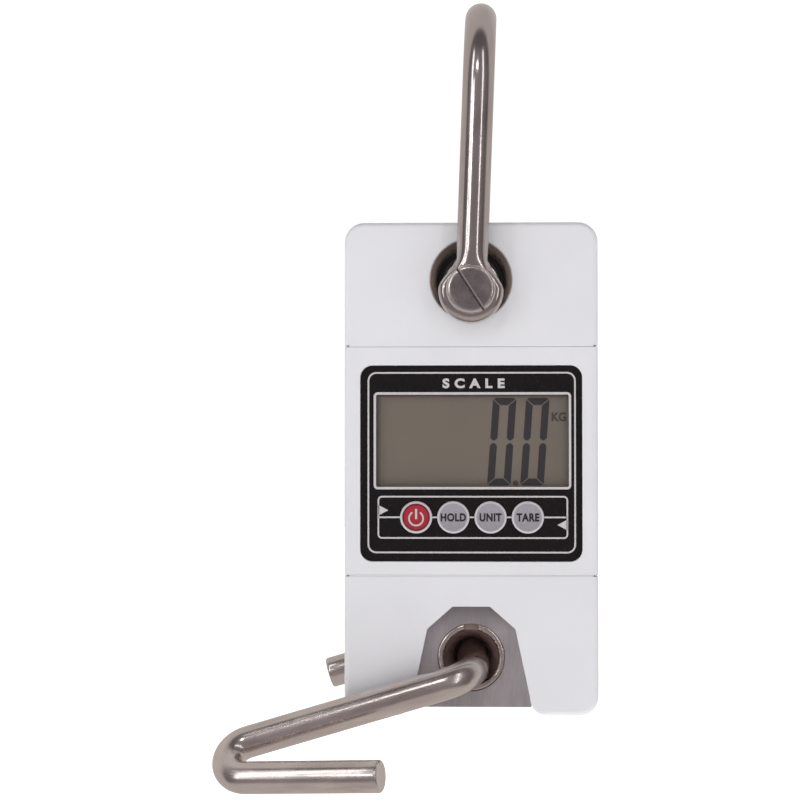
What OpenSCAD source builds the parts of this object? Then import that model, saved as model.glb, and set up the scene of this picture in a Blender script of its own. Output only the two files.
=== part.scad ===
// Hand-size crane scale: a white flat case with a display, a pinned shackle above and an S-hook below.
// The origin is the inner contact point of the shackle's crown, where a crane's hook bears.
// +Z points up along the load line, and the display faces -Y.

/* [Case] */
// Width of the case
case_w = 64; // [63:0.5:65]
// Height of the case
case_h = 124.5; // [124:0.5:126]
// Thickness of the case, front to back
case_d = 30; // [30:0.1:30.4]
// Radius of the case's corners, seen from the front
corner_r = 5; // [4:0.5:6]
// Radius of the case's front and rear edges
edge_r = 1.3; // [0.8:0.1:1.6]
// Thickness of the case walls
wall = 2.2; // [2.1:0.05:2.3]
// Height of the case's top edge above the shackle pin
top_above_pin = 17.7; // [17:0.1:18.5]
// Depth of the joint between the two housings, behind the case's middle plane
parting_y = 2; // [1:0.5:3]

/* [Display panel] */
// Distance from the shackle pin down to the panel's upper seam
panel_top = 13.9; // [13.5:0.1:14.5]
// Height of the panel between its two seams
panel_h = 57.5; // [57:0.1:58]
// Thickness of the panel
panel_t = 1.2; // [1:0.1:1.3]
// Width of each seam
seam = 0.45; // [0.3:0.05:0.6]
// Width of the black keypad overlay
overlay_w = 55.8; // [55:0.1:56.5]
// Height of the black keypad overlay
overlay_h = 49.3; // [48.5:0.1:50]
// Thickness of the black keypad overlay
overlay_t = 0.6; // [0.5:0.05:0.7]
// Width of the display window
window_w = 48.5; // [47.5:0.1:49]
// Height of the display window
window_h = 23.2; // [22.5:0.1:24]

/* [Buttons] */
// Radius of each button
button_r = 4.05; // [3.8:0.05:4.1]
// Distance between neighbouring buttons
button_pitch = 9.38; // [9.3:0.02:9.5]
// Distance from the shackle pin down to the row of buttons
button_drop = 56.9; // [56.5:0.1:57.3]
// Height of a button above the overlay
button_proud = 0.4; // [0.3:0.05:0.45]

/* [Shackle] */
// Diameter of the round bar of the shackle and of the hook
bar_d = 8; // [7.8:0.1:8]
// Distance from the pin's axis up to the inside of the crown
shackle_reach = 67.9; // [64:0.1:72]
// Distance between the middles of the shackle's two legs
shackle_span = 39.2; // [39.2:0.1:40]
// Sideways lean of the shackle at rest
shackle_lean = 2.1; // [0:0.1:4]
// Diameter of the shackle's eyes
eye_d = 16.4; // [16:0.1:17]
// Diameter of the pin's slotted head
pin_head_d = 12.3; // [12:0.1:12.6]

/* [Hook] */
// Distance from the shackle pin down to the hole for the hook
hole_drop = 92.3; // [92:0.1:92.6]
// Radius of the flared mouth of the bush that the hook hangs in
hook_hole_r = 6.95; // [6.9:0.05:7]
// Distance between the middles of the hook's front shank and its rear leg
hook_span = 40.4; // [40.2:0.1:41]
// Length of the front shank, from the hole's axis to the lower bend
shank_l = 59.2; // [56:0.1:62]
// Length of the rear leg, from the hole's axis to its cut end
rear_leg_l = 38.5; // [36:0.5:40]
// Bend radius of the bar's middle line at the case
loop_bend_r = 8.5; // [8:0.5:9]
// Bend radius of the bar's middle line at the lower bend
tip_bend_r = 6; // [5.5:0.25:7]
// Angle that the bar turns through at the lower bend
tip_turn = 159.5; // [150:0.5:165]
// Length of the straight end after the lower bend
tip_l = 35.3; // [32:0.1:38]
// Angle of the shank below the horizontal at rest
hook_drop_angle = 16.5; // [10:0.5:20]
// Twist of the hook about its shank at rest, where the bar jams in its hole
hook_twist = 11.25; // [9:0.25:11.5]
// Angle of the lower bend's plane from the plane of the upper loop
tip_plane_angle = 28.2; // [20:0.1:35]

/* [Hidden] */
$fn = 64;

bar_r = bar_d / 2;
// A bar swells a little where it is bent, and its straight stretches reach a little into the bends
bend_swell = 0.03;
bend_overlap = 0.1;
eps = 0.01;
// Gaps between parts that are fixed together, and between parts that slide or turn
touch = 0.02;
slide_gap = 0.05;
face_y = -case_d / 2;
back_y = case_d / 2;
case_top = top_above_pin;
case_bottom = case_top - case_h;
case_mid = (case_top + case_bottom) / 2;

// Shackle: two legs, a half-round crown and flat eyes
leg_y = shackle_span / 2;
leg_l = shackle_reach + bar_r - leg_y;
eye_t = 7.4;
eye_inner_y = leg_y - eye_t / 2;
eye_neck_h = 7;
// The leg's round bar starts just above the pin's head
leg_start = 6.4;
eye_shoulder_x = 9;
pin_r = 4;
pin_head_t = 1.9;
pin_head_edge_r = 1;
slot_w = 0.8;
slot_depth = 0.7;
slot_angle = 55;
pin_x = -shackle_reach * sin(shackle_lean);
pin_z = -shackle_reach * cos(shackle_lean);

// Upper hole: a flared sleeve and a black bush that the pin lies in
upper_hole_z = 3.15;
sleeve_r = 10.4;
sleeve_mouth_r = 10.2;
sleeve_throat_r = 8.4;
sleeve_l = case_d - 0.3;
sleeve_rim = 0.15;
throat_l = 15;
upper_bush_r = 7.25;
washer_r = 5.8;
washer_t = 1.3;

// Lower hole
lower_z = -hole_drop;
bore_r = 8.55;
bush_l = 21.2;
bush_throat_r = 4.4;
bush_throat_l = 2;
ring_wire_r = 0.95;
ring_mid_r = 7.85;
ring_y = 11.6;
ring_gap_angle = 27;

// Load cell: thick ends joined by a thinner beam
cell_end_y = case_d / 2 - wall - 0.1;
cell_upper_y = 11.5;
cell_beam_y0 = -6.3;
cell_beam_y1 = 0.8;
cell_beam_w = 25;
cell_bottom = case_bottom + 2;
cell_neck_z = -79;
cell_hole_r = 4.6;
cell_hole_gap = 15;
cell_mid_z = -46;
cell_screw_x = 7;
cell_screw_z = -16;
cell_screw_hole_r = 1.25;
cell_post_r = 2.2;
gauge_t = 0.16;
gauge_w = 3.6;
gauge_h = 5;
sealant_t = 1.5;
sealant_w = 6;

// Cut-out at the bottom of both housings
cut_top_z = -79.35;
cut_top_x = 4.7;
cut_shoulder_z = -85;
cut_shoulder_x = 11.1;
cut_side_z = -102.3;
cut_side_x = 14.8;
cut_lobe_r = 4.5;

// Display stack, from the front backwards
panel_bottom = -panel_top - panel_h;
seam_depth = 0.15;
panel_opening_w = 54;
overlay_z = -43.3;
window_z = -37.6;
window_x = 0.2;
pane_lap = 1;
lcd_w = 52;
lcd_h = 27;
lcd_y = -13;
lcd_t = 2;
light_t = 1.6;
board_y = -9.1;
board_t = 1.6;
board_w = 50;
board_top = -19.5;
board_bottom = -65;
board_back = board_y + board_t;
board_screw_inset = 2;
board_screw_r = 0.68;
board_post_r = 1.8;
chip_t = 0.8;
parts_x = 19;
buzzer_r = 4.6;
buzzer_t = 4.5;
button_z = -button_drop;
button_x0 = window_x - 1.5 * button_pitch;
button_front_y = face_y - button_proud;
cap_t = 1.3;
cap_bevel = 0.3;
inlay_r = 3.4;
stem_r = 1.8;
stem_end_y = -12.7;
switch_w = 6;
switch_t = 2.2;
switch_top_y = -12.25;

// Battery bay
tray_top = -24;
tray_bottom = -76.5;
tray_w = 36.6;
tray_wall = 1;
tray_y0 = cell_beam_y1 + 0.3;
tray_y1 = 12.8;
tray_gap = 0.2;
cell_r = 5.25;
cell_l = 44.5;
cell_pitch = 11.2;
cell_y = tray_y0 + tray_wall + cell_r + 0.15;
bay_l = tray_top - tray_bottom - 2 * tray_wall;
spring_l = 5.4;
nub_r = 1.9;
nub_l = 1;
coil_wire_r = 0.41;
coil_pitch = 0.75;
contact_t = 0.4;
cover_w = 40;
cover_top = -17;
cover_bottom = -77.6;
cover_t = 1.9;
cover_gap = 0.3;
cover_mid = (cover_top + cover_bottom) / 2;
cover_screw_z = -20.4;
cover_boss_r = 3;
cover_boss_y = 7;
ridge_w = 16;
ridge_pitch = 1.6;

// Screws
post_x = 26.2;
post_z = [case_top - 5.8, -75.5, case_bottom + 5.8];
post_r = 3;
screw_r = 1.4;
screw_head_r = 2.6;
screw_head_t = 1.5;
cover_screw_r = 0.85;
panel_screw_r = 0.9;
panel_screw_z = [-17.5, -68.5];
gasket_w = 0.9;
gasket_t = 0.8;

white = [0.93, 0.93, 0.95];
black = [0.05, 0.05, 0.05];
steel = [0.72, 0.69, 0.67];
cell_grey = [0.55, 0.53, 0.55];
silver = [0.78, 0.78, 0.80];

// ---- Helpers ----

// Puts children, drawn around the pin's axis, where the case hangs
module on_case() {
    translate([pin_x, 0, pin_z]) children();
}

// Puts children, drawn upright around the pin's axis, at the shackle's lean
module on_shackle() {
    on_case() rotate([0, shackle_lean, 0]) children();
}

// Extrudes an outline drawn in X and Z from y0 back to y1
module slab(y0, y1) {
    translate([0, y1, 0]) rotate([90, 0, 0]) linear_extrude(y1 - y0) children();
}

// A round bar along Y
module rod(r, y0, y1) {
    translate([0, y1, 0]) rotate([90, 0, 0]) cylinder(r = r, h = y1 - y0);
}

// A cone along Y
module cone(r0, r1, y0, y1) {
    translate([0, y0, 0]) rotate([-90, 0, 0]) cylinder(r1 = r0, r2 = r1, h = y1 - y0);
}

// A rectangle with round corners, centred
module round_rect(w, h, r) {
    square([w, h - 2 * r], center = true);
    square([w - 2 * r, h], center = true);
    for (x = [-1, 1], z = [-1, 1]) translate([x * (w / 2 - r), z * (h / 2 - r)]) circle(r);
}

// A disc along +Z whose far edge is rounded
module puck(r, h, edge) {
    steps = 6;
    rounding = [for (i = [0 : steps]) let (a = 90 * i / steps)
        [r - edge + edge * cos(a), h - edge + edge * sin(a)]];
    rotate_extrude() polygon(concat([[0, 0], [r, 0]], rounding, [[0, h]]));
}

// A block given by its corners
module block(x0, x1, y0, y1, z0, z1) {
    translate([x0, y0, z0]) cube([x1 - x0, y1 - y0, z1 - z0]);
}

// A round bar between two points
module bar(a, b, r) {
    v = b - a;
    translate(a) rotate([0, acos(v.z / norm(v)), atan2(v.y, v.x)]) cylinder(r = r, h = norm(v));
}

// A thin wire through a list of points, with a small knuckle at each turn
module wire(points, r) {
    for (i = [1 : len(points) - 1]) bar(points[i - 1], points[i], r, $fn = 8);
    for (i = [1 : len(points) - 2]) translate(points[i]) sphere(r * 1.25, $fn = 16);
}

// A straight stretch of round bar along +Z; its children carry on from its far end
module straight(l) {
    translate([0, 0, -bend_overlap]) cylinder(r = bar_r, h = l + 2 * bend_overlap);
    translate([0, 0, l]) children();
}

// A bend of the round bar from +Z towards +X; its children carry on from its far end
module bend(bend_r, angle) {
    translate([bend_r, 0, 0]) rotate([90, 0, 0]) rotate([0, 0, 180 - angle])
        rotate_extrude(angle = angle) translate([bend_r, 0]) circle(bar_r + bend_swell);
    translate([bend_r * (1 - cos(angle)), 0, bend_r * sin(angle)]) rotate([0, angle, 0]) children();
}

// A slotted round head, its face at y = 0 and its shank behind
module slotted_head(r, t) {
    difference() {
        translate([0, t, 0]) rotate([90, 0, 0]) puck(r, t, pin_head_edge_r);
        rotate([0, slot_angle, 0]) block(-r, r, -1, slot_depth, -slot_w / 2, slot_w / 2);
    }
}

// A screw with a cross-slotted flat head, along +Y with its head's face at y = 0
module screw(head_r, head_t, r, l) {
    arm = head_r * 0.6;
    arm_half_w = 0.3;
    difference() {
        rod(head_r, 0, head_t);
        for (a = [0, 90]) rotate([0, a, 0]) block(-arm, arm, -1, head_t / 2, -arm_half_w, arm_half_w);
    }
    rod(r, head_t - eps, l);
}

// ---- Shackle ----

// One flat eye: round below, and tapering straight up to the width of the leg
module shackle_eye() {
    slab(-eye_t / 2, eye_t / 2) difference() {
        intersection() {
            circle(d = eye_d);
            polygon([
                [-eye_d, -eye_d], [eye_d, -eye_d], [eye_shoulder_x, 0], [bar_r, eye_neck_h],
                [-bar_r, eye_neck_h], [-eye_shoulder_x, 0]
            ]);
        }
        circle(pin_r + touch);
    }
}

module shackle_bow() {
    color(steel) on_shackle() {
        for (s = [-1, 1]) translate([0, s * leg_y, 0]) {
            shackle_eye();
            translate([0, 0, leg_start]) cylinder(r = bar_r, h = leg_l - leg_start);
        }
        translate([0, 0, leg_l]) rotate([90, 0, 90]) rotate_extrude(angle = 180)
            translate([leg_y, 0]) circle(bar_r);
    }
}

module shackle_pin() {
    color(steel) on_shackle() {
        translate([0, -leg_y - eye_t / 2 - pin_head_t, 0])
            slotted_head(pin_head_d / 2, pin_head_t);
        rod(pin_r, -leg_y - eye_t / 2 - eps, leg_y - 0.5);
    }
}

module pin_end_screw() {
    color(steel) on_shackle() mirror([0, 1, 0]) {
        translate([0, -leg_y - eye_t / 2 - pin_head_t, 0])
            slotted_head(pin_head_d / 2, pin_head_t);
        rod(pin_r, -leg_y - eye_t / 2 - eps, -leg_y + 0.5 - eps);
    }
}

module pin_washers() {
    color(black) on_case() for (s = [0, 1]) mirror([0, s, 0]) difference() {
        rod(washer_r, -eye_inner_y + 2 * slide_gap, -eye_inner_y + 2 * slide_gap + washer_t);
        rod(pin_r + slide_gap, -back_y - 2, 0);
    }
}

// ---- Case ----

// The outer form of one housing: side is -1 for the front one, 1 for the rear one
module housing_form(side) {
    h = case_d / 2 - side * parting_y;
    translate([0, parting_y, case_mid]) rotate([-side * 90, 0, 0]) hull()
        for (x = [-1, 1], z = [-1, 1])
            translate([x * (case_w / 2 - corner_r), z * (case_h / 2 - corner_r), 0])
                puck(corner_r, h, edge_r, $fn = 48);
}

// The case's inside, from y0 to y1
module case_hollow(y0, y1) {
    translate([0, 0, case_mid]) slab(y0, y1)
        round_rect(case_w - 2 * wall, case_h - 2 * wall, corner_r - wall / 2);
}

// Outline of the cut-out that bares the load cell's lower end; its lower corners flare in round lobes
module cut_outline(grow = 0) {
    lobe_x = cut_side_x + grow + cut_lobe_r;
    difference() {
        polygon([
            [-lobe_x, case_bottom - 1], [-lobe_x, case_bottom + cut_lobe_r],
            [-cut_side_x - grow, cut_side_z], [-cut_shoulder_x - grow, cut_shoulder_z],
            [-cut_top_x - grow / 2, cut_top_z + grow], [cut_top_x + grow / 2, cut_top_z + grow],
            [cut_shoulder_x + grow, cut_shoulder_z], [cut_side_x + grow, cut_side_z],
            [lobe_x, case_bottom + cut_lobe_r], [lobe_x, case_bottom - 1]
        ]);
        for (s = [-1, 1]) translate([s * lobe_x, case_bottom + cut_lobe_r]) circle(cut_lobe_r);
    }
}

// The seal's loop in the joint between the housings, open where the cut-out is
module gasket_outline(w) {
    inset = 1.1;
    loop_w = case_w - 2 * inset;
    loop_h = case_h - 2 * inset;
    loop_r = corner_r - inset;
    difference() {
        translate([0, case_mid]) difference() {
            round_rect(loop_w + w, loop_h + w, loop_r + w / 2);
            round_rect(loop_w - w, loop_h - w, loop_r - w / 2);
        }
        translate([0, case_bottom]) square([2 * (cut_side_x + cut_lobe_r + 2), 10], center = true);
    }
}

// Puts children at the six screws that join the housings
module at_posts() {
    for (x = [-1, 1], z = post_z) translate([x * post_x, 0, z]) children();
}

// Puts children at the two screws of the load cell's upper end
module at_cell_screws() {
    for (s = [-1, 1]) translate([s * cell_screw_x, 0, cell_screw_z]) children();
}

module at_window() {
    translate([window_x, 0, window_z]) children();
}

// Puts children at one button's place, counted from the left
module at_button(i) {
    translate([button_x0 + i * button_pitch, 0, button_z]) children();
}

// Puts children at the board's four corner screws
module at_board_screws() {
    for (x = [-1, 1], z = [board_top - board_screw_inset, board_bottom + board_screw_inset])
        translate([x * (board_w / 2 - board_screw_inset), 0, z]) children();
}

// The four bars through the display panel's sides: its screws, or the holes for them
module side_pins(r) {
    for (s = [0, 1], z = panel_screw_z) mirror([s, 0, 0])
        bar([case_w / 2 - panel_t - 2.6, -6, z], [case_w / 2 - 0.6, -6, z], r);
}

module front_housing() {
    color(white) on_case() difference() {
        union() {
            difference() {
                housing_form(-1);
                case_hollow(face_y + wall, parting_y + 1);
            }
            at_posts() rod(post_r, face_y + wall - eps, parting_y);
            // Two short posts that the load cell's upper end is screwed to
            at_cell_screws() rod(cell_post_r, face_y + wall - eps, cell_beam_y0 - slide_gap);
        }
        slab(face_y - 1, parting_y + 1) cut_outline();
        translate([0, 0, upper_hole_z]) {
            rod(sleeve_r, face_y - 1, parting_y + 1);
            cone(sleeve_r + sleeve_rim, sleeve_r, face_y - eps, face_y + sleeve_rim);
        }
        // Seat of the display panel: a step across the face, a shallow groove along each seam,
        // and deep steps down both sides
        block(-case_w, case_w, face_y - 1, face_y + panel_t,
            panel_bottom - slide_gap, -panel_top + slide_gap);
        block(-case_w, case_w, face_y - 1, face_y + seam_depth, panel_bottom - seam, -panel_top + seam);
        for (s = [0, 1]) mirror([s, 0, 0])
            block(case_w / 2 - panel_t, case_w, face_y - 1, parting_y + 1,
                panel_bottom - seam, -panel_top + seam);
        // Opening behind the panel for the display and its board
        block(-panel_opening_w / 2, panel_opening_w / 2, face_y, 0, board_bottom - 1, board_top + 1);
        at_posts() rod(screw_r - 0.1, face_y + wall, parting_y + 1);
        side_pins(panel_screw_r + slide_gap);
        at_cell_screws() rod(cell_screw_hole_r, face_y + wall + 0.3, 0);
    }
}

module rear_housing() {
    color(white) on_case() difference() {
        union() {
            difference() {
                housing_form(1);
                case_hollow(parting_y - 1, back_y - wall);
            }
            at_posts() rod(post_r, parting_y, back_y - wall + eps);
            // Boss for the cover's screw
            translate([0, 0, cover_screw_z]) rod(cover_boss_r, cover_boss_y, back_y - wall + eps);
        }
        slab(parting_y - 1, back_y + 1) cut_outline();
        translate([0, 0, upper_hole_z]) {
            rod(sleeve_r, parting_y - 1, back_y + 1);
            cone(sleeve_r, sleeve_r + sleeve_rim, back_y - sleeve_rim, back_y + eps);
        }
        // Seat of the battery cover and the opening for the tray
        translate([0, 0, cover_mid]) slab(back_y - cover_t - 2 * slide_gap, back_y + 1)
            round_rect(cover_w + 2 * cover_gap, cover_top - cover_bottom + 2 * cover_gap, 3);
        block(-tray_w / 2 - tray_gap, tray_w / 2 + tray_gap, parting_y - 1, back_y,
            tray_bottom - tray_gap, tray_top + tray_gap);
        translate([0, 0, cover_screw_z]) rod(cover_screw_r + slide_gap, cover_boss_y + 0.5, back_y);
        slab(parting_y - 1, parting_y + gasket_t) gasket_outline(gasket_w + 2 * slide_gap);
        at_posts() rod(screw_r + 0.15, parting_y - 1, back_y + 1);
        at_posts() rod(screw_head_r + 0.2, back_y - screw_head_t - 0.2, back_y + 1);
    }
}

module housing_gasket() {
    color(black) on_case() slab(parting_y + touch, parting_y + gasket_t - touch) gasket_outline(gasket_w);
}

module display_panel() {
    inside_y = face_y + panel_t - 2 * slide_gap;
    inside_x = case_w / 2 - panel_t + 2 * slide_gap;
    color(white) on_case() difference() {
        union() {
            difference() {
                intersection() {
                    housing_form(-1);
                    block(-case_w, case_w, face_y - 1, parting_y - 2 * slide_gap, panel_bottom, -panel_top);
                }
                block(-inside_x, inside_x, inside_y, parting_y + 1, panel_bottom - 1, 0);
            }
            at_board_screws() rod(board_post_r, inside_y - eps, board_y - slide_gap);
        }
        translate([0, 0, overlay_z]) slab(face_y - 1, face_y + overlay_t)
            round_rect(overlay_w + 4 * slide_gap, overlay_h + 4 * slide_gap, 3.1);
        at_window() slab(face_y - 1, face_y + 3)
            square([window_w + pane_lap + 4 * slide_gap, window_h + pane_lap + 4 * slide_gap],
                center = true);
        for (i = [0 : 3]) at_button(i) rod(button_r + 3 * slide_gap, face_y - 1, face_y + 3);
        at_board_screws() rod(board_screw_r + touch, face_y + panel_t + 0.6, 0);
        side_pins(panel_screw_r + slide_gap);
    }
}

module keypad_overlay() {
    color(black) on_case() difference() {
        translate([0, 0, overlay_z]) slab(face_y + slide_gap, face_y + overlay_t)
            round_rect(overlay_w, overlay_h, 3);
        at_window() slab(face_y - 1, 0) round_rect(window_w, window_h, 0.6);
        for (i = [0 : 3]) at_button(i) rod(button_r + 2 * slide_gap, face_y - 1, 0);
    }
}

module display_window() {
    pane_y = face_y + overlay_t + slide_gap;
    color([0.8, 0.85, 0.85, 0.35]) on_case() at_window()
        slab(pane_y, pane_y + 0.8) round_rect(window_w + pane_lap, window_h + pane_lap, 0.6);
}

// ---- Electronics ----

module lcd_frame() {
    rim = 0.65;
    gap = 2 * slide_gap;
    color(black) on_case() at_window() slab(lcd_y - 0.35, board_y - slide_gap) difference() {
        square([lcd_w + gap + 2 * rim, lcd_h + gap + 2 * rim], center = true);
        square([lcd_w + gap, lcd_h + gap], center = true);
    }
}

module lcd_glass() {
    color([0.45, 0.43, 0.39]) on_case() at_window()
        slab(lcd_y, lcd_y + lcd_t) square([lcd_w, lcd_h], center = true);
}

module lcd_backlight() {
    light_y = lcd_y + lcd_t + slide_gap;
    color([0.9, 0.95, 0.85]) on_case() at_window()
        slab(light_y, light_y + light_t) square([lcd_w - 1, lcd_h - 6], center = true);
}

// The two rubber strips that join the display's edges to the board
module lcd_connectors() {
    strip_w = 1.8;
    color([0.4, 0.4, 0.42]) on_case() at_window() for (s = [-1, 1])
        translate([0, 0, s * (lcd_h / 2 - strip_w / 2 - 0.3)])
            slab(lcd_y + lcd_t + slide_gap, board_y - slide_gap)
                square([lcd_w - 6, strip_w], center = true);
}

module main_board() {
    color([0.05, 0.35, 0.15]) on_case() difference() {
        block(-board_w / 2, board_w / 2, board_y, board_back, board_bottom, board_top);
        at_board_screws() rod(0.95, board_y - 1, 0);
    }
}

// A flat part on the back of the board
module on_board(x, z, w, h, t) {
    translate([x, 0, z]) slab(board_back + touch, board_back + t) square([w, h], center = true);
}

module controller_chip() {
    color(black) on_case() on_board(parts_x, -36, 7, 7, chip_t);
}

module converter_chip() {
    color(black) on_case() on_board(-parts_x, -34, 3.9, 8.6, chip_t);
}

// Rows of chip resistors and capacitors and a crystal
module small_components() {
    color([0.6, 0.5, 0.35]) on_case() {
        for (i = [0 : 4], x = [-21.5, -17]) on_board(x, -42 - i * 2.2, 2, 1.2, 0.6);
        translate([parts_x, 0, -44]) slab(board_back + touch, board_back + 3) round_rect(8, 3.4, 1.6);
    }
}

module tact_switches() {
    color([0.2, 0.2, 0.2]) on_case() for (i = [0 : 3]) at_button(i) {
        slab(board_y - switch_t, board_y - touch) square([switch_w, switch_w], center = true);
        rod(1.6, switch_top_y, board_y - switch_t + eps);
    }
}

module buzzer() {
    sound_hole_r = 0.9;
    color(black) on_case() translate([parts_x, 0, -56]) difference() {
        rod(buzzer_r, board_back + touch, board_back + buzzer_t);
        rod(sound_hole_r, board_back + buzzer_t - 0.9, board_back + buzzer_t + 1);
    }
}

module board_screws() {
    head_t = 1;
    color(steel) on_case() at_board_screws()
        mirror([0, 1, 0]) translate([0, -board_back - head_t - touch, 0])
            screw(1.6, head_t, board_screw_r, 5);
}

// Screws that hold the display panel's sides to the front housing, from inside
module panel_screws() {
    color(steel) on_case() side_pins(panel_screw_r);
}

// ---- Buttons ----

// A button cap with a bevelled rim and a stem; inner_r above zero leaves room for an inlay
module button_cap(i, r, inner_r = 0) {
    at_button(i) difference() {
        union() {
            cone(r - cap_bevel, r, button_front_y, button_front_y + cap_bevel);
            rod(r, button_front_y + cap_bevel - eps, button_front_y + cap_t);
            rod(stem_r, button_front_y + cap_t - eps, stem_end_y);
        }
        if (inner_r > 0) rod(inner_r, button_front_y - 1, 0);
    }
}

module power_button() {
    color([0.8, 0.05, 0.1]) on_case() button_cap(0, inlay_r);
}

module power_button_ring() {
    color(silver) on_case() button_cap(0, button_r, inlay_r + slide_gap);
}

module hold_button() {
    color(silver) on_case() button_cap(1, button_r);
}

module unit_button() {
    color(silver) on_case() button_cap(2, button_r);
}

module tare_button() {
    color(silver) on_case() button_cap(3, button_r);
}

// ---- Load cell ----

// Outline of the load cell's lower end, a little larger than the cut-out that bares it
module cell_lower_outline() {
    polygon([
        [-cut_side_x - 0.3, cell_bottom], [-cut_side_x - 1.1, cut_side_z + 0.8],
        [-cut_shoulder_x - 1.4, cut_shoulder_z + 1],
        [-cut_top_x - 1.5, cell_neck_z + 0.8], [cut_top_x + 1.5, cell_neck_z + 0.8],
        [cut_shoulder_x + 1.4, cut_shoulder_z + 1], [cut_side_x + 1.1, cut_side_z + 0.8],
        [cut_side_x + 0.3, cell_bottom]
    ]);
}

module load_cell() {
    color(cell_grey) on_case() difference() {
        union() {
            slab(-cell_upper_y, cell_upper_y) translate([0, 1]) round_rect(28, 27, 2);
            block(-cell_beam_w / 2, cell_beam_w / 2, cell_beam_y0, cell_beam_y1, cell_neck_z - 6, -10);
            slab(-cell_end_y, cell_end_y) cell_lower_outline();
        }
        translate([0, 0, upper_hole_z]) rod(sleeve_r, -case_d, case_d);
        // Two round holes and the slot between them leave four thin webs for the gauges
        for (s = [-1, 1])
            translate([0, 0, cell_mid_z + s * cell_hole_gap / 2]) rod(cell_hole_r, -case_d, case_d);
        block(-1, 1, -case_d, case_d, cell_mid_z - cell_hole_gap / 2, cell_mid_z + cell_hole_gap / 2);
        translate([0, 0, lower_z]) {
            rod(bore_r, -case_d, case_d);
            for (s = [0, 1]) mirror([0, s, 0]) translate([0, -ring_y, 0]) rotate([90, 0, 0])
                rotate_extrude() translate([ring_mid_r, 0]) circle(ring_wire_r + touch);
        }
        at_cell_screws() rod(cell_screw_hole_r, cell_beam_y0 - 1, cell_beam_y1 + 1);
    }
}

// Flared steel lining of the upper hole
module upper_sleeve() {
    color(steel) on_case() translate([0, 0, upper_hole_z]) difference() {
        rod(sleeve_r - touch, -sleeve_l / 2, sleeve_l / 2);
        rod(sleeve_throat_r, -case_d, case_d);
        cone(sleeve_mouth_r, sleeve_throat_r, -sleeve_l / 2 - eps, -throat_l / 2);
        cone(sleeve_throat_r, sleeve_mouth_r, throat_l / 2, sleeve_l / 2 + eps);
    }
}

module upper_bush() {
    color(black) on_case() translate([0, 0, upper_hole_z]) difference() {
        rod(sleeve_throat_r - touch, -throat_l / 2, throat_l / 2);
        rod(upper_bush_r, -case_d, case_d);
    }
}

// Puts children at a height on the middle of the beam's side, right for side 1 and left for side -1
module on_beam(side, z) {
    translate([side * cell_beam_w / 2, (cell_beam_y0 + cell_beam_y1) / 2, cell_mid_z + z]) children();
}

// Foil gauges on the outer faces of the four thin webs
module strain_gauges() {
    color([0.75, 0.5, 0.2]) on_case() for (s = [-1, 1], z = [-1, 1])
        on_beam(s, z * cell_hole_gap / 2) translate([s * (gauge_t / 2 + touch), 0, 0])
            cube([gauge_t, gauge_w, gauge_h], center = true);
}

module gauge_sealant() {
    color([0.9, 0.9, 0.85]) on_case() for (s = [-1, 1]) difference() {
        on_beam(s, 0) translate([s * (sealant_t / 2 + touch), 0, 0])
            cube([sealant_t, sealant_w, cell_hole_gap + 9], center = true);
        for (z = [-1, 1]) on_beam(s, z * cell_hole_gap / 2)
            cube([2 * gauge_t + 4 * touch, gauge_w + 0.2, gauge_h + 0.2], center = true);
    }
}

// Four thin leads from the sealed gauges up and forward to the board
module gauge_wires() {
    side_x = -cell_beam_w / 2 - 0.9;
    seal_top = cell_mid_z + cell_hole_gap / 2 + 4.55;
    lead_pitch = 1.1;
    color([0.7, 0.1, 0.1]) on_case() for (i = [0 : 3])
        wire([
            [side_x, -4.6 + i * lead_pitch, seal_top],
            [side_x, -4.6 + i * lead_pitch, -27 + i],
            [-16 - i, -6.4, -25.5 + i],
            [-16 - i, board_back + slide_gap, -25.5 + i]
        ], 0.35);
}

module load_cell_screws() {
    head_t = 1.3;
    color(steel) on_case() at_cell_screws()
        mirror([0, 1, 0]) translate([0, -cell_beam_y1 - head_t - touch, 0]) screw(2.3, head_t, 1.2, 12.5);
}

// Open wire rings that keep the bush in its bore
module retaining_rings() {
    color(steel) on_case() translate([0, 0, lower_z]) for (s = [0, 1]) mirror([0, s, 0])
        translate([0, -ring_y, 0]) rotate([90, 0, 0]) rotate([0, 0, 90 + ring_gap_angle / 2])
            rotate_extrude(angle = 360 - ring_gap_angle) translate([ring_mid_r, 0]) circle(ring_wire_r);
}

module lower_bush() {
    color([0.40, 0.32, 0.30]) on_case() translate([0, 0, lower_z]) difference() {
        rod(bore_r - slide_gap, -bush_l / 2, bush_l / 2);
        rod(bush_throat_r, -case_d, case_d);
        cone(hook_hole_r, bush_throat_r, -bush_l / 2 - eps, -bush_throat_l / 2);
        cone(bush_throat_r, hook_hole_r, bush_throat_l / 2, bush_l / 2 + eps);
    }
}

// ---- Hook ----

// One bar, bent from the rear leg's cut end to the tip. It hangs along -Z from its hole,
// and is then twisted and swung to its rest place
module lower_hook() {
    color(steel) on_case() translate([0, 0, lower_z])
        rotate([0, 90 - hook_drop_angle, 0]) rotate([0, 0, hook_twist])
            translate([0, hook_span / 2, -rear_leg_l]) rotate([0, 0, -90])
                straight(rear_leg_l - loop_bend_r) bend(loop_bend_r, 90)
                    straight(hook_span - 2 * loop_bend_r) bend(loop_bend_r, 90)
                        straight(shank_l - loop_bend_r) rotate([0, 0, 180 - tip_plane_angle])
                            bend(tip_bend_r, tip_turn) straight(tip_l);
}

// ---- Battery bay ----

module battery_tray() {
    color(black) on_case() difference() {
        block(-tray_w / 2, tray_w / 2, tray_y0, tray_y1, tray_bottom, tray_top);
        block(-tray_w / 2 + tray_wall, tray_w / 2 - tray_wall, tray_y0 + tray_wall, tray_y1 + 1,
            tray_bottom + tray_wall, tray_top - tray_wall);
    }
}

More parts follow.
